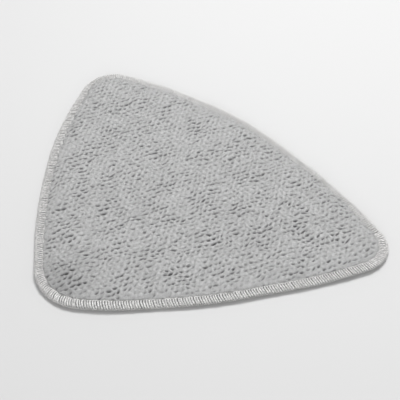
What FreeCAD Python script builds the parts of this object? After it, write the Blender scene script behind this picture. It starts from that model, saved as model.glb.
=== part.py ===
"""A triangular microfibre pad for a steam mop: four layers of cloth and the three threads of its sewn edge.

The pad lies on its back. +Z is up, out of the pile. +X runs across the width and +Y towards the long bowed
edge, so the rounded tip points along -Y. The origin is the middle of the outline's box, on the surface the
pad lies on. Every piece has the same outline of six tangent arcs, moved inwards by the piece's own inset:
the arcs keep their centres and lose the inset from their radii. At the edge the stitches squeeze the layers
together, so the back cloth steps up there and leaves room for the thread that runs under it.
"""
import FreeCAD, Part
import math
import os

import Sketcher

# Driving dimensions, in millimetres.
SIZES = {
    "pad_width": 335.0,
    "pad_depth": 254.0,
    "tip_radius": 42.0,
    "corner_radius": 29.0,
    "long_edge_radius": 420.0,
    "side_edge_radius": 530.0,
    "thread_thickness": 0.8,
    "binding_width": 7.0,
    "stitch_width": 0.9,
    "stitch_height": 0.6,
    "step_width": 1.0,
    "squeezed_back_thickness": 0.8,
    "squeezed_core_thickness": 1.6,
    "back_thickness": 1.0,
    "ground_thickness": 0.8,
    "pile_height": 4.2,
    "pile_gap": 0.3,
    "pile_rounding": 3.0,
    "rim_rounding": 0.7,
}

# Heights above the surface the pad lies on, and insets from its outline, each a sum of the sheet's cells.
FLOOR = ()
ROUND_THREADS = ("thread_thickness",)
BACK_TOP = ("back_thickness",)
SQUEEZED_BACK_TOP = ROUND_THREADS + ("squeezed_back_thickness",)
CORE_TOP = SQUEEZED_BACK_TOP + ("squeezed_core_thickness",)
THREADS_PART = ROUND_THREADS + ("squeezed_core_thickness",)
CLOTH_TOP = CORE_TOP + ("ground_thickness",)
BINDING_TOP = CLOTH_TOP + ("thread_thickness",)
OUTLINE = ()
BINDING_EDGE = ("binding_width",)
STITCH_EDGE = BINDING_EDGE + ("stitch_width",)
PILE_EDGE = STITCH_EDGE + ("pile_gap",)
BACK_STEP = BINDING_EDGE + ("step_width",)
CORE_STEP = BACK_STEP + ("step_width",)

# How a sketch's constraints name an arc's points, the sketch's origin and its vertical axis.
START, END, CENTRE = 1, 2, 3
ORIGIN_POINT = (-1, 1)
VERTICAL_AXIS = -2

# How far a face may be from a height, in millimetres, and still count as level with it.
LEVEL_TOLERANCE = 1e-6


def total(cells):
    """The value of a sum of cells."""
    return sum(SIZES[cell] for cell in cells)


def formula(cells):
    """The same sum as an expression bound to the sheet."""
    return " + ".join(f"Sizes.{cell}" for cell in cells) or "0"


def difference(upper, lower):
    return f"({formula(upper)}) - ({formula(lower)})"


def make_sheet(doc):
    sheet = doc.addObject("Spreadsheet::Sheet", "Sizes")
    for row, (alias, value) in enumerate(SIZES.items(), start=1):
        sheet.set(f"A{row}", alias)
        sheet.set(f"B{row}", str(value))
        sheet.setAlias(f"B{row}", alias)
    doc.recompute()


def side_arc_centre(tip, tip_radius, corner, corner_radius, side_radius):
    """The centre of the right side's arc, which holds the tip's and the corner's circles inside it."""
    to_tip = side_radius - tip_radius
    to_corner = side_radius - corner_radius
    span = (corner - tip).Length
    along = (to_tip ** 2 - to_corner ** 2 + span ** 2) / (2 * span)
    across = math.sqrt(to_tip ** 2 - along ** 2)
    direction = (corner - tip).normalize()
    return tip + direction * along + FreeCAD.Vector(-direction.y, direction.x, 0) * across


def outline_arcs(inset):
    """The six arcs, anticlockwise from the tip, as (centre, radius, start angle, end angle)."""
    tip_radius = SIZES["tip_radius"] - inset
    corner_radius = SIZES["corner_radius"] - inset
    long_radius = SIZES["long_edge_radius"] - inset
    side_radius = SIZES["side_edge_radius"] - inset
    tip = FreeCAD.Vector(0, SIZES["tip_radius"] - SIZES["pad_depth"] / 2, 0)
    long_edge = FreeCAD.Vector(0, SIZES["pad_depth"] / 2 - SIZES["long_edge_radius"], 0)
    corner_x = SIZES["pad_width"] / 2 - SIZES["corner_radius"]
    corner_y = long_edge.y + math.sqrt((long_radius - corner_radius) ** 2 - corner_x ** 2)
    right_corner = FreeCAD.Vector(corner_x, corner_y, 0)
    left_corner = FreeCAD.Vector(-corner_x, corner_y, 0)
    right_side = side_arc_centre(tip, tip_radius, right_corner, corner_radius, side_radius)
    left_side = FreeCAD.Vector(-right_side.x, right_side.y, 0)

    def angle(centre, point):
        return math.atan2(point.y - centre.y, point.x - centre.x)

    tip_to_side = angle(right_side, tip)
    side_to_corner = angle(right_side, right_corner)
    corner_to_long = angle(long_edge, right_corner)
    return [
        (tip, tip_radius, -math.pi - tip_to_side, tip_to_side),
        (right_side, side_radius, tip_to_side, side_to_corner),
        (right_corner, corner_radius, side_to_corner, corner_to_long),
        (long_edge, long_radius, corner_to_long, math.pi - corner_to_long),
        (left_corner, corner_radius, math.pi - corner_to_long, math.pi - side_to_corner),
        (left_side, side_radius, math.pi - side_to_corner, math.pi - tip_to_side),
    ]


def bind(sketch, name, constraint, expression):
    """Add a constraint whose size follows the sheet."""
    index = sketch.addConstraint(constraint)
    sketch.renameConstraint(index, name)
    sketch.setExpression(f"Constraints.{name}", expression)


def outline_sketch(body, name, inset, height):
    """The pad's outline moved inwards by an inset, at a height, with every arc tangent to the next."""
    sketch = body.newObject("Sketcher::SketchObject", name)
    planes = {plane.Role: plane for plane in body.Origin.OriginFeatures}
    sketch.AttachmentSupport = [(planes["XY_Plane"], "")]
    sketch.MapMode = "FlatFace"
    sketch.setExpression("AttachmentOffset.Base.z", formula(height))
    arcs = outline_arcs(total(inset))
    for centre, radius, start, end in arcs:
        circle = Part.Circle(centre, FreeCAD.Vector(0, 0, 1), radius)
        sketch.addGeometry(Part.ArcOfCircle(circle, start, end))
    for arc in range(len(arcs)):
        following = (arc + 1) % len(arcs)
        sketch.addConstraint(Sketcher.Constraint("Tangent", arc, END, following, START))

    tip, right_side, right_corner, long_edge, left_corner, left_side = range(len(arcs))
    sketch.addConstraint(Sketcher.Constraint("PointOnObject", tip, CENTRE, VERTICAL_AXIS))
    sketch.addConstraint(Sketcher.Constraint("PointOnObject", long_edge, CENTRE, VERTICAL_AXIS))
    sketch.addConstraint(Sketcher.Constraint("Equal", right_corner, left_corner))
    sketch.addConstraint(Sketcher.Constraint("Equal", right_side, left_side))
    for arc, cell in (
        (tip, "tip_radius"),
        (right_corner, "corner_radius"),
        (long_edge, "long_edge_radius"),
        (right_side, "side_edge_radius"),
    ):
        radius = Sketcher.Constraint("Radius", arc, arcs[arc][1])
        bind(sketch, cell, radius, difference((cell,), inset))

    corner_x = arcs[right_corner][0].x
    tip_drop = -arcs[tip][0].y
    long_edge_drop = -arcs[long_edge][0].y
    corner_formula = "Sizes.pad_width / 2 - Sizes.corner_radius"
    bind(
        sketch, "right_corner_x",
        Sketcher.Constraint("DistanceX", *ORIGIN_POINT, right_corner, CENTRE, corner_x), corner_formula,
    )
    bind(
        sketch, "left_corner_x",
        Sketcher.Constraint("DistanceX", left_corner, CENTRE, *ORIGIN_POINT, corner_x), corner_formula,
    )
    bind(
        sketch, "tip_centre_y",
        Sketcher.Constraint("DistanceY", tip, CENTRE, *ORIGIN_POINT, tip_drop),
        "Sizes.pad_depth / 2 - Sizes.tip_radius",
    )
    bind(
        sketch, "long_edge_centre_y",
        Sketcher.Constraint("DistanceY", long_edge, CENTRE, *ORIGIN_POINT, long_edge_drop),
        "Sizes.long_edge_radius - Sizes.pad_depth / 2",
    )
    return sketch


def new_body(doc, name):
    body = doc.addObject("PartDesign::Body", name)
    body.Label = name
    return body


def add_sheet_of(body, name, inset, bottom, top):
    """Add a flat layer with the inset outline, from one height up to another."""
    pad = body.newObject("PartDesign::Pad", name)
    pad.Profile = outline_sketch(body, f"{name}_outline", inset, bottom)
    pad.setExpression("Length", difference(top, bottom))
    return pad


def cut_sheet_of(body, name, inset, top, bottom):
    """Cut a flat recess with the inset outline, from one height down to another."""
    pocket = body.newObject("PartDesign::Pocket", name)
    pocket.Profile = outline_sketch(body, f"{name}_outline", inset, top)
    pocket.setExpression("Length", difference(top, bottom))
    return pocket


def round_outer_edge(doc, body, feature, height, radius_cell):
    """Round the outer edge of the level face at a height."""
    doc.recompute()
    level = total(height)
    shape = feature.Shape
    faces = [
        face for face in shape.Faces
        if max(abs(face.BoundBox.ZMin - level), abs(face.BoundBox.ZMax - level)) < LEVEL_TOLERANCE
    ]
    outer = max(faces, key=lambda face: face.BoundBox.DiagonalLength).OuterWire
    names = [
        f"Edge{number}" for number, edge in enumerate(shape.Edges, start=1)
        if any(edge.isSame(other) for other in outer.Edges)
    ]
    fillet = body.newObject("PartDesign::Fillet", "rounded_edge")
    fillet.Base = (feature, names)
    fillet.setExpression("Radius", f"Sizes.{radius_cell}")


def back_cloth(doc):
    """The brushed loop cloth that the mop head's hooks grip. Flat under the pad, it steps up at the edge."""
    body = new_body(doc, "back_cloth")
    add_sheet_of(body, "squeezed_edge", ROUND_THREADS, ROUND_THREADS, SQUEEZED_BACK_TOP)
    add_sheet_of(body, "flat_underside", BACK_STEP, FLOOR, ROUND_THREADS)
    cut_sheet_of(body, "seat_for_core", CORE_STEP, SQUEEZED_BACK_TOP, BACK_TOP)


def core_wadding(doc):
    """The absorbent layer, thicker where it fills the back cloth's seat."""
    body = new_body(doc, "core_wadding")
    add_sheet_of(body, "squeezed_edge", ROUND_THREADS, SQUEEZED_BACK_TOP, CORE_TOP)
    add_sheet_of(body, "full_middle", CORE_STEP, BACK_TOP, SQUEEZED_BACK_TOP)


def face_ground_cloth(doc):
    """The knitted cloth that holds the tufts."""
    body = new_body(doc, "face_ground_cloth")
    add_sheet_of(body, "cloth", ROUND_THREADS, CORE_TOP, CLOTH_TOP)


def face_pile(doc):
    """The body of tufts as one soft cushion with a rounded upper edge."""
    body = new_body(doc, "face_pile")
    pile_top = CLOTH_TOP + ("pile_height",)
    tufts = add_sheet_of(body, "tufts", PILE_EDGE, CLOTH_TOP, pile_top)
    round_outer_edge(doc, body, tufts, pile_top, "pile_rounding")


def upper_looper_thread(doc):
    """The cover of thread over the face side of the edge and down the upper half of the rim."""
    body = new_body(doc, "upper_looper_thread")
    cover = add_sheet_of(body, "cover", OUTLINE, THREADS_PART, BINDING_TOP)
    round_outer_edge(doc, body, cover, BINDING_TOP, "rim_rounding")
    cut_sheet_of(body, "open_middle", BINDING_EDGE, BINDING_TOP, THREADS_PART)
    cut_sheet_of(body, "seat_for_cloths", ROUND_THREADS, CLOTH_TOP, THREADS_PART)


def lower_looper_thread(doc):
    """The cover of thread under the back side of the edge and up the lower half of the rim."""
    body = new_body(doc, "lower_looper_thread")
    add_sheet_of(body, "cover", OUTLINE, FLOOR, THREADS_PART)
    cut_sheet_of(body, "open_middle", BINDING_EDGE, THREADS_PART, FLOOR)
    cut_sheet_of(body, "seat_for_cloths", ROUND_THREADS, THREADS_PART, ROUND_THREADS)


def needle_thread(doc):
    """The line of straight stitches that holds both looper threads, on the face side along their inner edge."""
    body = new_body(doc, "needle_thread")
    stitch_top = CLOTH_TOP + ("stitch_height",)
    add_sheet_of(body, "stitches", BINDING_EDGE, CLOTH_TOP, stitch_top)
    cut_sheet_of(body, "open_middle", STITCH_EDGE, stitch_top, CLOTH_TOP)


def check(doc):
    """Stop unless every object was recomputed without error and every piece is one sound solid."""
    for item in doc.Objects:
        if {"Invalid", "Error"} & set(item.State):
            raise RuntimeError(f"{item.Name} failed: {item.State}")
    for body in doc.findObjects("PartDesign::Body"):
        if body.Shape.isNull() or not body.Shape.isValid() or len(body.Shape.Solids) != 1:
            raise RuntimeError(f"{body.Label} is not one valid solid")


def write_steps(doc):
    os.makedirs("parts", exist_ok=True)
    for body in doc.findObjects("PartDesign::Body"):
        body.Shape.exportStep(f"parts/{body.Label}.step")
        box = body.Shape.optimalBoundingBox(False)
        print(
            f"{body.Label}: {body.Shape.Volume / 1000:.2f} cm3,"
            f" x {box.XMin:.2f} to {box.XMax:.2f},"
            f" y {box.YMin:.2f} to {box.YMax:.2f}, z {box.ZMin:.2f} to {box.ZMax:.2f}"
        )


doc = FreeCAD.newDocument("steam_mop_pad")
make_sheet(doc)
for make_piece in (
    back_cloth,
    core_wadding,
    face_ground_cloth,
    face_pile,
    needle_thread,
    upper_looper_thread,
    lower_looper_thread,
):
    make_piece(doc)
doc.recompute()
check(doc)
write_steps(doc)
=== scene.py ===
"""The looks of a triangular microfibre pad for a steam mop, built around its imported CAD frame.

Every soft CAD solid is replaced: the pile by a relief of tufts with fibres on it, the cloths by knitted and
felted sheets, and the edge's threads by real overlock stitches. All lengths are in metres.
"""
import math

import bpy
import numpy as np
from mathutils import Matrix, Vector


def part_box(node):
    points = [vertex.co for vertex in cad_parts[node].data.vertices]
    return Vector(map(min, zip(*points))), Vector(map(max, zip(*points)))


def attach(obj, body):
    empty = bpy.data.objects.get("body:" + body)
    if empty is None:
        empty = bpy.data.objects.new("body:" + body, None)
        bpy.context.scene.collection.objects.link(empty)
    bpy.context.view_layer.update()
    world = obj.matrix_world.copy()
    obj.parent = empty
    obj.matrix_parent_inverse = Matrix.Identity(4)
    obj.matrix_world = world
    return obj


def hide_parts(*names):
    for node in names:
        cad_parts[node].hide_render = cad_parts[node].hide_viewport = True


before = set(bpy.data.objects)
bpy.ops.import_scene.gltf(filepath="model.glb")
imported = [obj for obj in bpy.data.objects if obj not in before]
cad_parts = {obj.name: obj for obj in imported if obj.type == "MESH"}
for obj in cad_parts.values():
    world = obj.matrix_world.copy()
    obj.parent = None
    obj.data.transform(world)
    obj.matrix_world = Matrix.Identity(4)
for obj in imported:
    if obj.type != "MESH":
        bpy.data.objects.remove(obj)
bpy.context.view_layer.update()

MM = 0.001
rng = np.random.default_rng(7)

# ---------------------------------------------------------------- the pad's outline

PAD_WIDTH = 335 * MM
PAD_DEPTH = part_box("upper_looper_thread")[1][1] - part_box("upper_looper_thread")[0][1]
TIP_RADIUS = 42 * MM
CORNER_RADIUS = 29 * MM
LONG_EDGE_RADIUS = 420 * MM
SIDE_EDGE_RADIUS = 530 * MM


def unit(vectors):
    """The vectors at length 1. One of no length stays as it is."""
    return vectors / np.maximum(np.linalg.norm(vectors, axis=1, keepdims=True), 1e-9)


def make_arcs():
    """The outline's six tangent arcs, anticlockwise from the tip: centre, radius, start and end angle."""
    tip = np.array([0, TIP_RADIUS - PAD_DEPTH / 2])
    long_edge = np.array([0, PAD_DEPTH / 2 - LONG_EDGE_RADIUS])
    corner_x = PAD_WIDTH / 2 - CORNER_RADIUS
    corner_y = long_edge[1] + math.sqrt((LONG_EDGE_RADIUS - CORNER_RADIUS) ** 2 - corner_x ** 2)
    corner = np.array([corner_x, corner_y])
    to_tip = SIDE_EDGE_RADIUS - TIP_RADIUS
    to_corner = SIDE_EDGE_RADIUS - CORNER_RADIUS
    span = np.hypot(*(corner - tip))
    along = (to_tip ** 2 - to_corner ** 2 + span ** 2) / (2 * span)
    across = math.sqrt(to_tip ** 2 - along ** 2)
    ahead = (corner - tip) / span
    side = tip + ahead * along + np.array([-ahead[1], ahead[0]]) * across
    mirror = np.array([-1, 1])

    def angle(centre, point):
        return math.atan2(point[1] - centre[1], point[0] - centre[0])

    leave_tip = angle(side, tip)
    reach_corner = angle(side, corner)
    leave_corner = angle(long_edge, corner)
    return [
        (tip, TIP_RADIUS, -math.pi - leave_tip, leave_tip),
        (side, SIDE_EDGE_RADIUS, leave_tip, reach_corner),
        (corner, CORNER_RADIUS, reach_corner, leave_corner),
        (long_edge, LONG_EDGE_RADIUS, leave_corner, math.pi - leave_corner),
        (corner * mirror, CORNER_RADIUS, math.pi - leave_corner, math.pi - reach_corner),
        (side * mirror, SIDE_EDGE_RADIUS, math.pi - reach_corner, math.pi - leave_tip),
    ]


ANGLE_TOLERANCE = 1e-9
ARCS = make_arcs()
ARC_LENGTHS = np.array([radius * (end - start) for _, radius, start, end in ARCS])
PERIMETER = ARC_LENGTHS.sum()


def rim_point(along, inset):
    """Points and outward normals on the outline moved inwards, at distances along the outer outline."""
    along = np.mod(along, PERIMETER)
    starts = np.concatenate([[0], np.cumsum(ARC_LENGTHS)])
    arc = np.clip(np.searchsorted(starts, along, side="right") - 1, 0, len(ARCS) - 1)
    centres = np.array([a[0] for a in ARCS])[arc]
    radii = np.array([a[1] for a in ARCS])[arc]
    angle = np.array([a[2] for a in ARCS])[arc] + (along - starts[arc]) / radii
    normal = np.stack([np.cos(angle), np.sin(angle)], axis=-1)
    return centres + normal * (radii - inset)[..., None], normal


def place_inside(points):
    """Each point's depth inside the outline, its arc's centre and radius, and how far along it is."""
    best = np.full(len(points), np.inf)
    centre = np.zeros((len(points), 2))
    radius = np.zeros(len(points))
    along = np.zeros(len(points))
    passed = 0.0
    for arc_centre, arc_radius, start, end in ARCS:
        away = points - arc_centre
        angle = np.arctan2(away[:, 1], away[:, 0])
        turned = np.mod(angle - start, 2 * math.pi)
        depth = arc_radius - np.hypot(away[:, 0], away[:, 1])
        nearer = (turned <= end - start + ANGLE_TOLERANCE) & (depth < best)
        best[nearer] = depth[nearer]
        centre[nearer] = arc_centre
        radius[nearer] = arc_radius
        along[nearer] = passed + turned[nearer] * arc_radius
        passed += arc_radius * (end - start)
    return best, centre, radius, along


def depth_inside(points):
    """How far each point lies inside the outline."""
    return place_inside(points)[0]


# ---------------------------------------------------------------- heights and insets of the layers

CLOTH_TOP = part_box("face_ground_cloth")[1][2]
GROUND_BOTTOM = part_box("face_ground_cloth")[0][2]
PILE_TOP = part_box("face_pile")[1][2]
RIM_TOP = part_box("upper_looper_thread")[1][2]
RIM_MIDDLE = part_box("upper_looper_thread")[0][2]
CORE_LOW, CORE_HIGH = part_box("core_wadding")[0][2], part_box("core_wadding")[1][2]
BACK_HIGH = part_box("back_cloth")[1][2]
THREAD_THICKNESS = RIM_TOP - CLOTH_TOP
BINDING_WIDTH = 7 * MM
STITCH_WIDTH = 0.9 * MM
CLOTH_INSET = 1.4 * MM      # how far the cloths end inside the binding's outer face
WADDING_INSET = 2.8 * MM    # and how far the wadding does


# ---------------------------------------------------------------- smooth seeded noise


class Noise:
    """A smooth random field over the pad: a sum of waves around one size, between about -1 and 1."""

    def __init__(self, size, waves=24):
        heading = rng.uniform(0, 2 * math.pi, waves)
        wavelength = size * rng.uniform(0.7, 1.6, waves)
        self.direction = np.stack([np.cos(heading), np.sin(heading)]) * (2 * math.pi / wavelength)
        self.phase = rng.uniform(0, 2 * math.pi, waves)
        self.gain = math.sqrt(2 / waves) * 0.7

    def __call__(self, points):
        return np.cos(points @ self.direction + self.phase).sum(axis=-1) * self.gain


sway = Noise(120 * MM)
ripple = Noise(45 * MM)
edge_wander = Noise(60 * MM)

FREE_EDGE = 22 * MM         # how far in from the edge the pad is free to move
WANDER_REACH = 0.2 * MM
RIPPLE_RISE = 0.35 * MM
SWAY_RISE = 0.4 * MM
# Where the sewing pulls the edge in or lets it out: mm along it from the tip, mm outwards, mm wide.
EDGE_PULLS = (
    (50, 1.2, 16), (185, -1.3, 24), (284, 1.2, 12), (385, -2.0, 30), (480, 1.4, 24),
    (562, 1.6, 22), (650, -2.1, 24), (734, 1.2, 28), (860, -1.1, 34),
)


def edge_pull(along):
    """How far out the edge's waves move it."""
    from_tip = along - ARC_LENGTHS[0] / 2
    pull = np.zeros(len(along))
    for middle, height, width in EDGE_PULLS:
        away = np.mod(from_tip - middle * MM + PERIMETER / 2, PERIMETER) - PERIMETER / 2
        pull += height * MM * np.exp(-0.5 * (away / (width * MM)) ** 2)
    return pull


def settle(vertices):
    """Move flat-laid vertices to where the soft pad really lies: slight waves in its free edge."""
    vertices = np.array(vertices, dtype=float)
    flat = vertices[:, :2]
    depth, centre, _, along = place_inside(flat)
    near_edge = np.exp(-np.clip(depth, 0, None) / FREE_EDGE)
    shift = edge_wander(flat) * WANDER_REACH + edge_pull(along)
    flat += unit(flat - centre) * (shift * near_edge)[:, None]
    lift = RIPPLE_RISE * (1 + ripple(flat)) * near_edge + SWAY_RISE * (1 + sway(flat)) * near_edge
    vertices[:, 2] += np.clip(lift, 0, None)
    return vertices


# ---------------------------------------------------------------- mesh helpers


def add_mesh(name, vertices, faces, node, material, attributes=None, uv=None):
    """A piece that rides on the pad's one body and stands for a CAD node."""
    mesh = bpy.data.meshes.new(name)
    vertices = np.asarray(vertices, dtype=np.float32)
    faces = [np.asarray(group, dtype=np.int32) for group in faces if len(group)]
    sizes = np.concatenate([np.full(len(group), group.shape[1], dtype=np.int32) for group in faces])
    corners = np.concatenate([group.ravel() for group in faces])
    mesh.vertices.add(len(vertices))
    mesh.vertices.foreach_set("co", vertices.ravel())
    mesh.loops.add(len(corners))
    mesh.loops.foreach_set("vertex_index", corners)
    mesh.polygons.add(len(sizes))
    mesh.polygons.foreach_set("loop_start", np.concatenate([[0], np.cumsum(sizes)[:-1]]).astype(np.int32))
    mesh.polygons.foreach_set("loop_total", sizes)
    mesh.update(calc_edges=True)
    mesh.validate()
    for label, values in (attributes or {}).items():
        layer = mesh.attributes.new(label, "FLOAT", "POINT")
        layer.data.foreach_set("value", np.asarray(values, dtype=np.float32))
    if uv is not None:
        layer = mesh.uv_layers.new(name="along_thread")
        layer.data.foreach_set("uv", np.asarray(uv, dtype=np.float32)[corners].ravel())
    mesh.polygons.foreach_set("use_smooth", np.full(len(sizes), True))
    mesh.materials.append(material)
    piece = bpy.data.objects.new(name, mesh)
    bpy.context.collection.objects.link(piece)
    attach(piece, "root")
    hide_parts(node)
    return piece


def sheet_grid(spacing, inset, heading=0.0):
    """A square grid cut to the inset outline, its border moved onto the outline: points and quads."""
    turn = np.array([[math.cos(heading), math.sin(heading)], [-math.sin(heading), math.cos(heading)]])
    reach = 0.5 * math.hypot(PAD_WIDTH, PAD_DEPTH) + spacing
    steps = int(reach / spacing)
    ticks = np.arange(-steps, steps + 1) * spacing
    across, along = np.meshgrid(ticks, ticks, indexing="ij")
    points = np.stack([across.ravel(), along.ravel()], axis=1) @ turn
    depth, centre, radius, _ = place_inside(points)
    inside = depth >= inset
    count = len(ticks)
    index = np.arange(count * count).reshape(count, count)
    quads = np.stack([index[:-1, :-1], index[1:, :-1], index[1:, 1:], index[:-1, 1:]], axis=-1)
    quads = quads.reshape(-1, 4)
    quads = quads[inside[quads].sum(axis=1) >= 2]
    used = np.unique(quads)
    on_border = centre + unit(points - centre) * (radius - inset)[:, None]
    points = np.where(inside[:, None], points, on_border)[used]
    renumber = np.full(count * count, -1)
    renumber[used] = np.arange(len(used))
    return points, renumber[quads]


def border_loop(quads):
    """The border's vertices in order, following the quads' own direction."""
    edges = np.concatenate([quads[:, [0, 1]], quads[:, [1, 2]], quads[:, [2, 3]], quads[:, [3, 0]]])
    seen = set(map(tuple, edges.tolist()))
    following = {a: b for a, b in seen if (b, a) not in seen}
    start = next(iter(following))
    loop = [start]
    while following[loop[-1]] != start:
        loop.append(following[loop[-1]])
    return np.array(loop)


def closed_sheet(points, quads, top, bottom):
    """A solid over one grid between two heights, level or a height for each point: vertices and quads."""
    count = len(points)
    heights = [np.broadcast_to(height, count) for height in (top, bottom)]
    vertices = np.concatenate([np.column_stack([points, height]) for height in heights])
    loop = border_loop(quads)
    after = np.roll(loop, -1)
    wall = np.column_stack([after, loop, loop + count, after + count])
    return vertices, [quads, quads[:, ::-1] + count, wall]


# ---------------------------------------------------------------- materials


class Shader:
    """A Principled material and short ways to add nodes to it."""

    def __init__(self, name, roughness, sheen=0.0):
        self.material = bpy.data.materials.new(name)
        self.material.use_nodes = True
        self.nodes = self.material.node_tree.nodes
        self.links = self.material.node_tree.links
        self.surface = self.nodes["Principled BSDF"]
        self.surface.inputs["Roughness"].default_value = roughness
        self.surface.inputs["Sheen Weight"].default_value = sheen
        self.surface.inputs["Sheen Roughness"].default_value = 0.5
        self.surface.inputs["Specular IOR Level"].default_value = 0.2

    def put(self, kind, settings=None, **inputs):
        """Add a node. An input is given by its name, with _ for a space, or as _0 or _1 by its number."""
        node = self.nodes.new(kind)
        for label, value in (settings or {}).items():
            setattr(node, label, value)
        for label, value in inputs.items():
            socket = node.inputs[int(label[1:]) if label[0] == "_" else label.replace("_", " ")]
            if isinstance(value, bpy.types.NodeSocket):
                self.links.new(value, socket)
            else:
                socket.default_value = value
        return node

    def place(self):
        return self.put("ShaderNodeTexCoord").outputs["Object"]

    def noise(self, vector, scale, detail=2.0):
        return self.put("ShaderNodeTexNoise", Vector=vector, Scale=scale, Detail=detail).outputs["Fac"]

    def attribute(self, label):
        return self.put("ShaderNodeAttribute", {"attribute_name": label}).outputs["Fac"]

    def spread(self, value, low, high):
        """A value from 0 at low to 1 at high."""
        return self.put("ShaderNodeMapRange", Value=value, From_Min=low, From_Max=high).outputs["Result"]

    def blend(self, factor, first, second):
        """The first colour where the factor is 0, the second where it is 1."""
        node = self.put("ShaderNodeMix", {"data_type": "RGBA"})
        for socket, value in ((0, factor), (6, first), (7, second)):
            if isinstance(value, bpy.types.NodeSocket):
                self.links.new(value, node.inputs[socket])
            else:
                node.inputs[socket].default_value = value
        return node.outputs[2]

    def dimmed(self, colour, share):
        """A colour at a share of its lightness."""
        return self.blend(1 - share, colour, grey(0))

    def colour(self, socket):
        self.links.new(socket, self.surface.inputs["Base Color"])

    def bump(self, height, strength, distance):
        node = self.put("ShaderNodeBump", Strength=strength, Distance=distance, Height=height)
        self.links.new(node.outputs["Normal"], self.surface.inputs["Normal"])


def grey(level, warmth=0.0):
    """A grey, a little warmer where warmth is above 0."""
    return (level * (1 + warmth), level, level * (1 - warmth), 1)


PILE_LIGHT = 0.535
# PILE_DARK is the grey of the pile's painted shade in its deepest gaps; the darker border and tip go towards
# it too.
PILE_DARK = 0.12
WARMTH = 0.01               # of the white threads and the wadding
GLINT_SHADE_CELLS = 760         # cells of the threads' painted glints and shade in a metre
FILAMENTS = 400             # and in a metre along a thread


def fibrous(shader, place, length, width):
    """Streaks like combed fibres, a number from 0 to 1, whose run turns gently from place to place."""
    turn = shader.put("ShaderNodeTexNoise", Vector=place, Scale=140, Detail=1.0).outputs["Color"]
    bend = shader.put("ShaderNodeVectorMath", {"operation": "SCALE"}, _0=turn, Scale=5 * MM).outputs[0]
    bent = shader.put("ShaderNodeVectorMath", {"operation": "ADD"}, _0=place, _1=bend).outputs[0]
    drawn = shader.put(
        "ShaderNodeMapping",
        Vector=bent,
        Rotation=(0, 0, -ROW_HEADING),
        Scale=(1 / length, 1 / width, 1 / length),
    ).outputs["Vector"]
    return shader.noise(drawn, 1.0, 3)


def pile_material():
    """Light-grey microfibre, with painted shade that makes it darker down between the tufts, and combed
    fibres in its colour and bump.
    """
    shader = Shader("microfibre_pile", roughness=0.95, sheen=0.15)
    place = shader.place()
    patches = shader.spread(shader.noise(place, 60), 0.3, 0.7)
    fibres = fibrous(shader, place, 1.3 * MM, 0.16 * MM)
    tone = shader.blend(patches, grey(PILE_LIGHT * 0.96), grey(PILE_LIGHT))
    tone = shader.blend(shader.spread(fibres, 0.35, 0.65), shader.dimmed(tone, 0.88), tone)
    # Painted shade: the shade attribute darkens the colour towards PILE_DARK in the gaps between the tufts,
    # and near the border and the tip.
    shader.colour(shader.blend(shader.attribute("shade"), tone, grey(PILE_DARK)))
    shader.bump(fibres, 0.8, 0.3 * MM)
    return shader.material


def fibre_material():
    """The pile's own strands: bundles of fine fibres, with painted light that makes them lighter than the
    relief, and painted shade that makes them slightly darker at their roots than at their tips.
    """
    shader = Shader("microfibre_strands", roughness=0.95, sheen=0.15)
    place = shader.place()
    patches = shader.spread(shader.noise(place, 60), 0.3, 0.7)
    # Painted light: the strands are the same microfibre as the relief, made 1.08 to 1.14 times as light.
    tone = shader.blend(patches, grey(PILE_LIGHT * 1.08), grey(PILE_LIGHT * 1.14))
    # Painted shade: slightly darker towards the roots, down in the pile.
    tone = shader.blend(shader.attribute("towards_tip"), shader.dimmed(tone, 0.94), tone)
    # Painted shade from the gaps between the tufts, at STRAND_SHADE of the pile's.
    shader.colour(shader.blend(shader.attribute("shade"), tone, grey(PILE_DARK)))
    shader.bump(fibrous(shader, place, 0.9 * MM, 0.07 * MM), 0.5, 0.1 * MM)
    return shader.material


def thread_material(name, light, dark, streaks):
    """Polyester yarn: fine filaments that run along it, and painted glints and shade that make its colour
    lighter and darker from stitch to stitch.
    """
    shader = Shader(name, roughness=0.48, sheen=0.1)
    shader.surface.inputs["Specular IOR Level"].default_value = 0.5
    along = shader.put("ShaderNodeUVMap", {"uv_map": "along_thread"}).outputs["UV"]
    stretched = shader.put("ShaderNodeMapping", Vector=along, Scale=(FILAMENTS, streaks, 1))
    filaments = shader.noise(stretched.outputs["Vector"], 1.0, 3)
    tones = (grey(dark, WARMTH), grey(light, WARMTH))
    tone = shader.blend(shader.spread(filaments, 0.35, 0.65), *tones)
    # Painted glints and shade: random patches about a stitch wide, from full colour down to 0.68 of it.
    painted_glint_shade = shader.spread(shader.noise(shader.place(), GLINT_SHADE_CELLS, 1), 0.42, 0.60)
    shader.colour(shader.blend(painted_glint_shade, shader.dimmed(tone, 0.68), tone))
    shader.bump(filaments, 0.6, 0.12 * MM)
    return shader.material


def knit_material(name, level, pitch, relief):
    """Fine knitted cloth: rows of small loops."""
    shader = Shader(name, roughness=0.9, sheen=0.1)
    place = shader.place()
    rows = shader.put(
        "ShaderNodeTexWave", {"wave_type": "BANDS", "bands_direction": "X"},
        Vector=place, Scale=1 / pitch / 3, Distortion=2.0, Detail=1.0,
    ).outputs["Fac"]
    loops = shader.put("ShaderNodeTexVoronoi", Vector=place, Scale=1 / pitch).outputs["Distance"]
    height = shader.put("ShaderNodeMath", {"operation": "MULTIPLY"}, _0=rows, _1=loops).outputs[0]
    shader.colour(shader.blend(shader.spread(loops, 0.1, 0.8), grey(level * 1.08), grey(level * 0.62)))
    shader.bump(height, 0.9, relief)
    return shader.material


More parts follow.
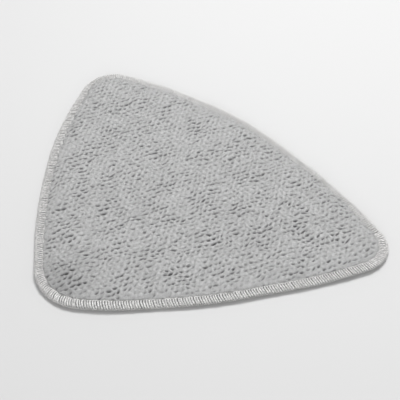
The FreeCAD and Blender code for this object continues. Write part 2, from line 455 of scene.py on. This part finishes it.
def felt_material():
    """Needled wadding: matted white fibres."""
    shader = Shader("needled_wadding", roughness=0.95)
    place = shader.place()
    fibres = shader.noise(place, 900, 5)
    shader.colour(shader.blend(shader.spread(fibres, 0.3, 0.7), grey(0.62, WARMTH), grey(0.78, WARMTH)))
    shader.bump(fibres, 0.7, 0.4 * MM)
    return shader.material


# ---------------------------------------------------------------- the pile


def direction_at(angle):
    """The unit vector at an angle from +X."""
    return np.array([math.cos(angle), math.sin(angle)])


ROW_HEADING = math.radians(65.7)
NEXT_ROW_HEADING = math.radians(-33.7)
TUFT_PITCH = 4.80 * MM      # from tuft to tuft along a row
NEXT_ROW_PITCH = 4.60 * MM  # and from one row's tuft to the next row's
NEXT_ROW = NEXT_ROW_PITCH * direction_at(NEXT_ROW_HEADING)
ALONG_ROW = TUFT_PITCH * direction_at(ROW_HEADING)
LATTICE = np.linalg.inv(np.stack([ALONG_ROW, NEXT_ROW]))
ROW_SPACING = abs(ALONG_ROW[0] * NEXT_ROW[1] - ALONG_ROW[1] * NEXT_ROW[0]) / TUFT_PITCH
PILE_INSET = BINDING_WIDTH - 0.1 * MM
PILE_FOOT = BINDING_WIDTH + 0.6 * MM
NEEDLE_LINE = BINDING_WIDTH + 0.2 * MM
LATTICE_REACH = 48          # more tufts than lie from the middle to the edge

tuft_lean = Noise(30 * MM)
tuft_lean_across = Noise(30 * MM)
strength = Noise(26 * MM)
clump = Noise(2.6 * MM, 40)
fleck = Noise(1.4 * MM, 40)
hummock = Noise(24 * MM)
border_wander = Noise(6 * MM, 32)


def lattice_numbers(low, high, skew=None):
    """A random number for every place of the lattice: even between low and high, or a skewed spread."""
    size = (4 * LATTICE_REACH, 4 * LATTICE_REACH)
    if skew is None:
        return rng.uniform(low, high, size)
    return low + (high - low) * rng.beta(*skew, size)


PIT_DEPTH = lattice_numbers(0.8, 4.5, (1.5, 2.2)) * MM
PIT_SLIP_ALONG = lattice_numbers(-0.24, 0.24)
PIT_SLIP_ACROSS = lattice_numbers(-0.17, 0.17)
PIT_LENGTH = lattice_numbers(0.85, 2.2, (1.3, 2.4)) * MM
PIT_WIDTH = lattice_numbers(0.39, 0.60) * MM
PIT_TURN = lattice_numbers(-0.45, 0.45)
TUFT_RISE = lattice_numbers(-0.35, 0.35) * MM
TUFT_HEIGHT = 1.1 * MM
TUFT_HALF_LENGTH = 2.1 * MM
TUFT_HALF_WIDTH = 1.75 * MM
FULL_SHADE_DEPTH = 2.6 * MM
SHOULDER_WIDTH = 11 * MM
FOOT_WIDTH = 0.8 * MM
FOOT_RISE = 0.25 * MM       # how far the pile's foot stands above the cloth
SILL_RISE = 0.15 * MM       # and its border above the foot and the rim
LEAST_RISE = 0.2 * MM       # no gap goes nearer to the cloth
BORDER_RELIEF = 0.35        # the share of the relief that is left at the border
TUFT_LEAN = 1.0 * MM
BORDER_WANDER = 1.1 * MM
HUMMOCK_RISE = 0.35 * MM
CLUMP_RISE = 0.14 * MM
FLECK_RISE = 0.10 * MM
DARKER_BORDER_REACH = 5 * MM     # how far in from the border the pile's colour is darker
DARKER_TIP_REACH = 16 * MM       # and how far in from the tip, and how wide
BORDER_DARKENING = 0.04
TIP_DARKENING = 0.30


def around(place):
    """The lattice places near each point: their numbers, and the way from each to the point."""
    row = np.round(place[:, 1]).astype(int)
    for this_row in (row - 1, row, row + 1):
        shifted = place[:, 0] + this_row / 2
        first = np.floor(shifted).astype(int) - 1
        for here in (first, first + 1, first + 2, first + 3):
            numbers = (here + 2 * LATTICE_REACH, this_row + 2 * LATTICE_REACH)
            yield numbers, shifted - here, place[:, 1] - this_row


def pile_height(points):
    """The height of the pile's upper surface, and how dark each point's colour is, from 0 in the open to 1:
    painted shade in the gaps between the tufts, and darker near the border and the tip.
    """
    lean = TUFT_LEAN * np.stack([tuft_lean(points), tuft_lean_across(points)], axis=1)
    gap = np.zeros(len(points))
    tuft = np.zeros(len(points))
    for numbers, along, across in around((points + lean) @ LATTICE):
        to_tuft = (along - 0.5) * TUFT_PITCH
        across_row = across * ROW_SPACING
        dome = np.exp(-0.5 * ((to_tuft / TUFT_HALF_LENGTH) ** 2 + (across_row / TUFT_HALF_WIDTH) ** 2))
        tuft = np.maximum(tuft, dome * (TUFT_HEIGHT + TUFT_RISE[numbers]))
        along = (along - PIT_SLIP_ALONG[numbers]) * TUFT_PITCH
        across = (across - PIT_SLIP_ACROSS[numbers]) * ROW_SPACING
        turn = PIT_TURN[numbers]
        along, across = along + turn * across, across - turn * along
        away = (along / PIT_LENGTH[numbers]) ** 2 + (across / PIT_WIDTH[numbers]) ** 2
        gap = np.maximum(gap, PIT_DEPTH[numbers] * np.exp(-0.5 * away))
    gap *= np.clip(0.85 + 0.35 * strength(points), 0.3, 1.3)
    from_border = depth_inside(points) - PILE_FOOT + BORDER_WANDER * border_wander(points)
    foot = np.sqrt(np.clip(from_border / FOOT_WIDTH + 1, 0, 1))
    shoulder = np.sin(np.clip(from_border / SHOULDER_WIDTH, 0, 1) * math.pi / 2)
    low = CLOTH_TOP + FOOT_RISE + (RIM_TOP + SILL_RISE - CLOTH_TOP) * foot
    full = PILE_TOP - RIM_TOP - TUFT_HEIGHT + HUMMOCK_RISE * hummock(points)
    fine = CLUMP_RISE * clump(points) + FLECK_RISE * fleck(points)
    relief = (tuft - gap + fine) * (BORDER_RELIEF + (1 - BORDER_RELIEF) * shoulder) * foot
    height = np.maximum(low + full * shoulder + relief, CLOTH_TOP + LEAST_RISE)
    # The pile's colour is darker near the border, unevenly, and around the tip.
    edge_darkening = BORDER_DARKENING * np.exp(-np.clip(from_border, 0, None) / DARKER_BORDER_REACH)
    edge_darkening *= 1 + 0.6 * strength(points)
    to_tip = np.hypot(points[:, 0], points[:, 1] + PAD_DEPTH / 2 - DARKER_TIP_REACH)
    edge_darkening += TIP_DARKENING * np.exp(-0.5 * (to_tip / DARKER_TIP_REACH) ** 2)
    # Painted shade: the deeper a gap between the tufts, the darker its colour, at its darkest from
    # FULL_SHADE_DEPTH down; the darker border and tip are added to it.
    shade = np.clip(gap / FULL_SHADE_DEPTH + edge_darkening, 0, 1)
    return height, shade


def from_tuft(points):
    """The way from the nearest tuft's middle to each point."""
    place = points @ LATTICE
    row = np.round(place[:, 1])
    shifted = place[:, 0] + row / 2
    along = (shifted - np.floor(shifted) - 0.5) * TUFT_PITCH
    across = (place[:, 1] - row) * ROW_SPACING
    row_way = direction_at(ROW_HEADING)
    next_way = np.array([row_way[1], -row_way[0]])
    return along[:, None] * row_way + across[:, None] * next_way


PILE_SPACING = 0.56 * MM
PILE_HALVES = (("pile_front", -1), ("pile_rear", 1))


def make_pile(material):
    """The relief of tufts in two halves that meet along a row, each a closed solid."""
    all_points, all_quads = sheet_grid(PILE_SPACING, PILE_INSET, ROW_HEADING)
    centres = all_points[all_quads].mean(axis=1) @ np.array([math.sin(ROW_HEADING), -math.cos(ROW_HEADING)])
    for name, half in PILE_HALVES:
        quads = all_quads[centres * half > 0]
        used = np.unique(quads)
        renumber = np.full(len(all_points), -1)
        renumber[used] = np.arange(len(used))
        quads = renumber[quads]
        points = all_points[used]
        height, shade = pile_height(points)
        loop = border_loop(quads)
        base = len(points) + np.arange(len(loop))
        floor = np.column_stack([points[loop], np.full(len(loop), CLOTH_TOP)])
        vertices = np.concatenate([np.column_stack([points, height]), floor])
        after, base_after = np.roll(loop, -1), np.roll(base, -1)
        wall = np.column_stack([after, loop, base, base_after])
        underside = base[::-1][None, :]
        # Painted shade: the walls and the underside are given half of the full shade.
        shades = np.concatenate([shade, np.full(len(loop), 0.5)])
        faces = [quads, wall, underside]
        piece = add_mesh(
            name, settle(vertices), faces, "face_pile", material, {"shade": shades}
        )


STRAND_SPACING = 0.84 * MM
STRAND_BANDS = 6
# A strand's rings and its tip: the share of its length, mm above the pile, and mm of half-width at scale 1.
STRAND_STATIONS = ((0.0, -0.25, 0.13), (0.35, 0.10, 0.135), (0.7, 0.10, 0.11), (1.0, -0.02, 0.0))
RING_TURNS = np.radians((90, 210, 330))
RING = len(RING_TURNS)
STRAND_FLATNESS = 0.8
STRAND_SHADE = 0.7          # how much of the pile's painted shade reaches the strands
NAP = direction_at(math.radians(-40))   # the way the strands lie over
FRINGE_SPACING = 0.30 * MM
COMBED_BORDER = 2.5 * MM    # how far in from the border the strands lie outwards
FIRST_STRAND = 0.6 * MM     # how far in from the pile's foot the strands begin


def strand_roots():
    """Where the strands stand, which way they lie and how long they are, with a fringe along the border."""
    steps = int(0.5 * math.hypot(PAD_WIDTH, PAD_DEPTH) / STRAND_SPACING)
    ticks = np.arange(-steps, steps + 1) * STRAND_SPACING
    across, along = np.meshgrid(ticks, ticks, indexing="ij")
    roots = np.stack([across.ravel(), along.ravel()], axis=1)
    roots += rng.uniform(-0.5, 0.5, roots.shape) * STRAND_SPACING
    depth, centre, _, _ = place_inside(roots)
    kept = depth > PILE_FOOT + FIRST_STRAND
    roots, depth, outward = roots[kept], depth[kept], unit(roots - centre)[kept]
    edge = np.exp(-(depth - PILE_FOOT) / COMBED_BORDER)
    way = from_tuft(roots) / (1.2 * MM) + 0.5 * NAP + rng.normal(0, 0.34, roots.shape)
    way = unit(way + 2.0 * edge[:, None] * outward)
    along = np.arange(0, PERIMETER, FRINGE_SPACING)
    along = along + rng.uniform(0, FRINGE_SPACING, len(along))
    fringe, normal = rim_point(along, PILE_FOOT + rng.uniform(0.3, 1.8, len(along)) * MM)
    fringe_way = unit(normal + rng.normal(0, 0.5, normal.shape))
    fringe_reach = np.clip(0.7 + 0.8 * border_wander(fringe), 0.25, 1.6)
    reach = np.concatenate([np.ones(len(roots)), fringe_reach])
    return np.concatenate([roots, fringe]), np.concatenate([way, fringe_way]), reach


def strand_faces():
    """The quads round one strand, and the triangles that close its root and its tip."""
    tip = RING * (len(STRAND_STATIONS) - 1)
    quads, triangles = [], [[0, 2, 1]]
    for corner in range(RING):
        after = (corner + 1) % RING
        for ring in range(0, tip - RING, RING):
            quads.append([ring + corner, ring + after, ring + RING + after, ring + RING + corner])
        triangles.append([tip - RING + corner, tip - RING + after, tip])
    return np.array(quads), np.array(triangles)


def make_fibres(material):
    """Short curved strands that lie over the tufts and, at the border, out over the edge."""
    roots, way, longer = strand_roots()
    count = len(roots)
    side = np.stack([-way[:, 1], way[:, 0]], axis=1)
    curl = rng.normal(0, 0.65, count)[:, None] * MM
    reach = (rng.uniform(1.3, 3.0, count) * longer)[:, None] * MM
    lifted = rng.uniform(0, 0.14, count)
    scale = rng.uniform(0.7, 1.2, count) * MM
    rings, shades = [], []
    for share, rise, half_width in STRAND_STATIONS:
        points = roots + way * share * reach + side * curl * share ** 2
        height, shade = pile_height(points)
        over_edge = depth_inside(points) < NEEDLE_LINE
        height = np.maximum(height, np.where(over_edge, RIM_TOP, 0))
        height = height + (rise + lifted) * MM
        for turn in RING_TURNS if half_width else (0.0,):
            across = (math.cos(turn) * half_width * scale)[:, None] * side
            up = math.sin(turn) * half_width * scale * STRAND_FLATNESS
            rings.append(np.column_stack([points + across, height + up]))
            shades.append(shade)
    vertices = np.stack(rings, axis=1)
    shades = np.stack(shades, axis=1)
    clear = shades[:, RING:].max(axis=1) < rng.uniform(0.25, 0.6, count)
    quads, triangles = strand_faces()
    shares = [share for share, _, half_width in STRAND_STATIONS for _ in range(RING if half_width else 1)]
    towards_tip = np.tile(shares, (count, 1))
    band = np.flatnonzero(clear)[np.argsort(vertices[clear, 0, 0], kind="stable")]
    for number, chosen in enumerate(np.array_split(band, STRAND_BANDS), start=1):
        block = vertices[chosen].reshape(-1, 3)
        first = (np.arange(len(chosen)) * vertices.shape[1])[:, None, None]
        faces = [(quads + first).reshape(-1, 4), (triangles + first).reshape(-1, 3)]
        piece = add_mesh(
            f"pile_fibres_{number}", settle(block), faces, "face_pile", material,
            {"towards_tip": towards_tip[chosen].ravel(), "shade": STRAND_SHADE * shades[chosen].ravel()},
        )


# ---------------------------------------------------------------- the cloths

GROUND_SPACING = 2.5 * MM   # the grids that the layers are made on
WADDING_SPACING = 2.0 * MM
BACK_SPACING = 1.1 * MM
LAYER_GAP = 0.03 * MM
GROUND_SINK = 0.05 * MM
GROUND_LUMPS = 0.06 * MM
BACK_LUMPS = 0.06 * MM
SQUEEZE_WIDTH = 3 * MM      # how far in from the binding the layers reach their full thickness
WALE_PITCH = 4.4 * MM
WALE_HEIGHT = 0.32 * MM


def make_ground_cloth(material):
    """The knitted cloth under the tufts, its edge held in the overlock stitches."""
    points, quads = sheet_grid(GROUND_SPACING, CLOTH_INSET)
    top = CLOTH_TOP + GROUND_LUMPS * clump(points) - GROUND_SINK
    vertices, faces = closed_sheet(points, quads, top, GROUND_BOTTOM)
    piece = add_mesh("ground_cloth", settle(vertices), faces, "face_ground_cloth", material)


def make_wadding(material):
    """The absorbent layer, squeezed thin where the edge is sewn."""
    points, quads = sheet_grid(WADDING_SPACING, WADDING_INSET)
    squeeze = np.clip((depth_inside(points) - BINDING_WIDTH) / SQUEEZE_WIDTH, 0, 1)
    bottom = BACK_HIGH + (CORE_LOW - BACK_HIGH) * squeeze
    vertices, faces = closed_sheet(points, quads, CORE_HIGH - LAYER_GAP, bottom + LAYER_GAP)
    piece = add_mesh("wadding", settle(vertices), faces, "core_wadding", material)


def make_back_cloth(material):
    """The loop cloth on the pad's back: fine raised wales, drawn up where the edge is sewn."""
    points, quads = sheet_grid(BACK_SPACING, CLOTH_INSET)
    squeeze = np.clip((depth_inside(points) - BINDING_WIDTH) / SQUEEZE_WIDTH, 0, 1)
    squeeze = squeeze * squeeze * (3 - 2 * squeeze)
    wales = 0.5 + 0.5 * np.cos(2 * math.pi * points[:, 0] / WALE_PITCH)
    under = THREAD_THICKNESS * (1 - squeeze) + WALE_HEIGHT * wales * squeeze
    under = under + BACK_LUMPS * (1 + clump(points))
    top = BACK_HIGH + (CORE_LOW - BACK_HIGH) * squeeze
    vertices, faces = closed_sheet(points, quads, top, under)
    piece = add_mesh("loop_back_cloth", settle(vertices), faces, "back_cloth", material)


# ---------------------------------------------------------------- the overlock threads

POINTS_PER_SPAN = 2         # on a smooth path, from one control point to the next


def smooth_path(points):
    """A closed Catmull-Rom line through control points, with more points between them."""
    t = (np.arange(POINTS_PER_SPAN) / POINTS_PER_SPAN)[None, :, None]
    before, here, after, last = (np.roll(points, shift, axis=0)[:, None, :] for shift in (1, 0, -1, -2))
    line = 0.5 * (
        2 * here + (after - before) * t + (2 * before - 5 * here + 4 * after - last) * t ** 2
        + (3 * here - before - 3 * after + last) * t ** 3
    )
    return line.reshape(-1, points.shape[1])


def run_length(line):
    """How far along a line each of its points is."""
    return np.concatenate([[0], np.cumsum(np.linalg.norm(np.diff(line, axis=0), axis=1))])


def travel(line):
    """The unit direction in which a closed line runs at each of its points."""
    return unit(np.roll(line, -1, axis=0) - np.roll(line, 1, axis=0))


def tube_mesh(lines, outwards, radius, sides):
    """Closed tubes along closed lines. outwards is the direction that each ring's first point faces."""
    all_vertices, all_faces, all_uv = [], [], []
    offset = 0
    for line, outward in zip(lines, outwards):
        ahead = travel(line)
        across = unit(np.cross(ahead, outward))
        up = np.cross(across, ahead)
        count = len(line)
        angles = (2 * math.pi * np.arange(sides) / sides)[None, :, None]
        ring = (np.cos(angles) * up[:, None, :] + np.sin(angles) * across[:, None, :]) * radius
        vertices = (line[:, None, :] + ring).reshape(-1, 3)
        index = np.arange(count * sides).reshape(count, sides)
        following = np.roll(index, -1, axis=0)
        faces = [index, np.roll(index, -1, axis=1), np.roll(following, -1, axis=1), following]
        round_share = np.tile(np.arange(sides) / sides, count)
        all_vertices.append(vertices)
        all_faces.append(np.stack(faces, axis=-1).reshape(-1, 4) + offset)
        all_uv.append(np.stack([np.repeat(run_length(line), sides), round_share], axis=1))
        offset += len(vertices)
    return np.concatenate(all_vertices), np.concatenate(all_faces), np.concatenate(all_uv)


STITCH_PITCH = 2.05 * MM
STITCHES = int(round(PERIMETER / STITCH_PITCH))
YARN_HALF = 0.38 * MM
RIM_RADIUS = 1.95 * MM
LEAST_DROP = 0.05 * MM
LOOP_BULGE = (0.2 * MM, 1.0 * MM)   # the least and most that a loop stands out of the rim
LOOP_SLANT = 2.0 * MM               # how far along the edge a leg leans from its foot to the rim
LEAN_FROM = 0.25                    # the share of a leg that runs straight across the edge first
LEAN_POWER = 1.5
BULGE_POWER = 4
LOWER_PHASE = 2 * LOOP_SLANT / STITCH_PITCH     # so that the two loopers' loops meet on the rim
STITCH_WANDER = 0.10 * MM
LEG_WANDER = 0.03 * MM
LEG_APART = 0.72 * MM
LEG_STATIONS = (0.06, 0.34, 0.62, 0.84)
FOOT_DIP = -0.25 * MM
PLY_RADIUS = 0.25 * MM
PLY_OFFSET = 0.26 * MM
PLY_TWIST = 2.7 * MM
PLY_SQUASH = 0.8
PLY_SIDES = 5


def binding_section(u, top, middle, side):
    """A looper yarn's inset, height and outward direction at u, from 0 at the needle to 1 on the rim."""
    flat_run = NEEDLE_LINE - YARN_HALF - RIM_RADIUS
    quarter = RIM_RADIUS * math.pi / 2
    drop = max(abs(top - middle) - YARN_HALF - RIM_RADIUS, LEAST_DROP)
    run = u * (flat_run + quarter + drop)
    turn = np.clip((run - flat_run) / RIM_RADIUS, 0, math.pi / 2)
    inset = np.where(run < flat_run, NEEDLE_LINE - run, YARN_HALF + RIM_RADIUS * (1 - np.sin(turn)))
    fall = YARN_HALF + RIM_RADIUS * (1 - np.cos(turn)) + np.clip(run - flat_run - quarter, 0, None)
    return inset, top - side * fall, np.sin(turn), np.cos(turn) * side


def looper_controls(phase, slant):
    """A looper yarn's control points, stitch after stitch.

    Each holds its distance along the outline, 0 to 1 across the edge, its rise and its bulge out of the rim.
    """
    controls = []
    pitch = PERIMETER / STITCHES
    for stitch in range(STITCHES):
        middle = (stitch + phase) * pitch + rng.normal(0, STITCH_WANDER)
        reach = min(rng.normal(0.98, 0.02), 1.0)
        inner = rng.normal(0.02, 0.02)
        half = LEG_APART / 2 * rng.uniform(0.75, 1.15)
        bulge = rng.uniform(*LOOP_BULGE)
        for leg, stations in ((-1, LEG_STATIONS), (1, LEG_STATIONS[::-1])):
            for u in stations:
                lean = slant * (max(0.0, u - LEAN_FROM) / (1 - LEAN_FROM)) ** LEAN_POWER
                place = middle + leg * half + lean + rng.normal(0, LEG_WANDER)
                controls.append((place, max(0.0, u + inner * (1 - u)), 0.0, bulge * u ** BULGE_POWER))
            if leg == -1:
                controls.append((middle + slant, reach, 0.0, bulge))
            else:
                controls.append((middle + pitch / 2, max(0.0, inner), FOOT_DIP, 0.0))
    return np.array(controls)


def looper_lines(controls, top, middle, side):
    """The two twisted plies of one looper's yarn, and the direction out of the pad along each."""
    inset, height, out, up = binding_section(controls[:, 1], top, middle, side)
    point, normal = rim_point(controls[:, 0], inset - controls[:, 3])
    line = smooth_path(np.column_stack([point, height + side * controls[:, 2]]))
    facing = unit(smooth_path(np.column_stack([normal * out[:, None], up])))
    across = unit(np.cross(travel(line), facing))
    length = run_length(line)
    turns = round(length[-1] / PLY_TWIST)
    plies = []
    for start in (0, math.pi):
        angle = start + 2 * math.pi * turns * length / length[-1]
        offset = across * np.cos(angle)[:, None] + facing * PLY_SQUASH * np.sin(angle)[:, None]
        plies.append(line + PLY_OFFSET * offset)
    return plies, [facing] * 2


def make_loopers(material):
    """One yarn over the face side of the edge and one under its back, which meet on the rim."""
    for name, node, top, side, phase, slant in (
        ("upper_looper_yarn", "upper_looper_thread", RIM_TOP, 1, 0.0, LOOP_SLANT),
        ("lower_looper_yarn", "lower_looper_thread", 0.0, -1, LOWER_PHASE, -LOOP_SLANT),
    ):
        lines, outwards = looper_lines(looper_controls(phase, slant), top, RIM_MIDDLE, side)
        vertices, faces, uv = tube_mesh(lines, outwards, PLY_RADIUS, PLY_SIDES)
        add_mesh(name, settle(vertices), [faces], node, material, uv=uv)


NEEDLE_RADIUS = 0.26 * MM
NEEDLE_SIDES = 6
NEEDLE_WANDER = 0.06 * MM
# A stitch's control points: how far along it, and how many mm above the cloth.
NEEDLE_STATIONS = ((0.0, -0.6), (0.10, 0.25), (0.35, 0.62), (0.65, 0.62), (0.90, 0.25))


def make_needle_thread(material):
    """Straight stitches along the needle line, each dipping through the cloths at its ends."""
    stitches = STITCHES // 2
    pitch = PERIMETER / stitches
    controls = []
    for stitch in range(stitches):
        start = (stitch - 0.25) / stitches * PERIMETER
        for share, rise in NEEDLE_STATIONS:
            controls.append((start + share * pitch, CLOTH_TOP + rise * MM, rng.normal(0, NEEDLE_WANDER)))
    controls = np.array(controls)
    point, _ = rim_point(controls[:, 0], NEEDLE_LINE + STITCH_WIDTH / 2 + controls[:, 2])
    line = smooth_path(np.column_stack([point, controls[:, 1]]))
    outward = np.tile([0.0, 0.0, 1.0], (len(line), 1))
    vertices, faces, uv = tube_mesh([line], [outward], NEEDLE_RADIUS, NEEDLE_SIDES)
    add_mesh("needle_stitches", settle(vertices), [faces], "needle_thread", material, uv=uv)


# ---------------------------------------------------------------- build everything

make_pile(pile_material())
make_fibres(fibre_material())
# Painted shade: the ground cloth is made dark grey, so that where it shows between the binding's loops it
# reads as the shade there.
make_ground_cloth(knit_material("knitted_ground_painted_shade", 0.20, 0.9 * MM, 0.2 * MM))
make_wadding(felt_material())
make_back_cloth(knit_material("brushed_loop_knit", 0.44, 1.1 * MM, 0.3 * MM))
make_loopers(thread_material("overlock_yarn", 0.94, 0.76, 10))
# Painted shade: the needle thread is the same whitish yarn as the loopers, made grey for the shade in the
# groove beside the pile.
make_needle_thread(thread_material("needle_yarn_painted_shade", 0.62, 0.40, 10))

# ---------------------------------------------------------------- floor, light and camera

FLOOR_RADIUS = 2.0
FLOOR_CORNERS = 96
FLOOR_GREY = 0.62
WALL_STRENGTH = 0.74        # the room's light at the horizon
CEILING_STRENGTH = 0.36     # and from above
CEILING_HEIGHT = 0.7        # the upward share of a direction that counts as above

CAMERA_AZIMUTH = math.radians(42.86)
CAMERA_ELEVATION = math.radians(45.90)
CAMERA_DISTANCE = 0.8055
CAMERA_TARGET = Vector((0.0154, 0.0284, 0.002))
CAMERA_LENS = 86.4
CAMERA_SENSOR = 36


def make_floor():
    mesh = bpy.data.meshes.new("floor")
    angles = 2 * math.pi * np.arange(FLOOR_CORNERS) / FLOOR_CORNERS
    rim = FLOOR_RADIUS * np.column_stack([np.cos(angles), np.sin(angles), np.zeros(FLOOR_CORNERS)])
    mesh.from_pydata(rim.tolist(), [], [list(range(FLOOR_CORNERS))])
    shader = Shader("plain_floor", roughness=0.8)
    shader.surface.inputs["Base Color"].default_value = grey(FLOOR_GREY)
    mesh.materials.append(shader.material)
    floor = bpy.data.objects.new("floor", mesh)
    bpy.context.collection.objects.link(floor)


def make_world():
    """A plain white room, brighter round the horizon than overhead."""
    world = bpy.data.worlds.new("soft_room")
    bpy.context.scene.world = world
    world.use_nodes = True
    nodes, links = world.node_tree.nodes, world.node_tree.links
    up = nodes.new("ShaderNodeSeparateXYZ")
    links.new(nodes.new("ShaderNodeTexCoord").outputs["Generated"], up.inputs[0])
    walls = nodes.new("ShaderNodeMapRange")
    links.new(up.outputs["Z"], walls.inputs["Value"])
    walls.inputs["From Max"].default_value = CEILING_HEIGHT
    walls.inputs["To Min"].default_value = WALL_STRENGTH
    walls.inputs["To Max"].default_value = CEILING_STRENGTH
    links.new(walls.outputs["Result"], nodes["Background"].inputs["Strength"])
    nodes["Background"].inputs["Color"].default_value = grey(1)


def add_area_light(name, place, size, watts):
    """A round soft light that faces the pad's middle."""
    data = bpy.data.lights.new(name, "AREA")
    data.shape = "DISK"
    data.size = size
    data.energy = watts
    light = bpy.data.objects.new(name, data)
    light.location = place
    light.rotation_euler = (-Vector(place)).to_track_quat("-Z", "Y").to_euler()
    bpy.context.collection.objects.link(light)


def make_camera():
    back = Vector((
        math.sin(CAMERA_AZIMUTH) * math.cos(CAMERA_ELEVATION),
        -math.cos(CAMERA_AZIMUTH) * math.cos(CAMERA_ELEVATION),
        math.sin(CAMERA_ELEVATION),
    ))
    data = bpy.data.cameras.new("camera")
    data.lens = CAMERA_LENS
    data.sensor_width = CAMERA_SENSOR
    camera = bpy.data.objects.new("camera", data)
    camera.location = CAMERA_TARGET + back * CAMERA_DISTANCE
    camera.rotation_euler = (-back).to_track_quat("-Z", "Y").to_euler()
    bpy.context.collection.objects.link(camera)
    bpy.context.scene.camera = camera


bpy.context.scene.view_settings.view_transform = "Standard"
make_floor()
make_world()
add_area_light("key", place=(-0.20, 0.66, 1.40), size=0.60, watts=22)
add_area_light("fill", place=(2.0, -2.2, 1.3), size=2.0, watts=30)
make_camera()
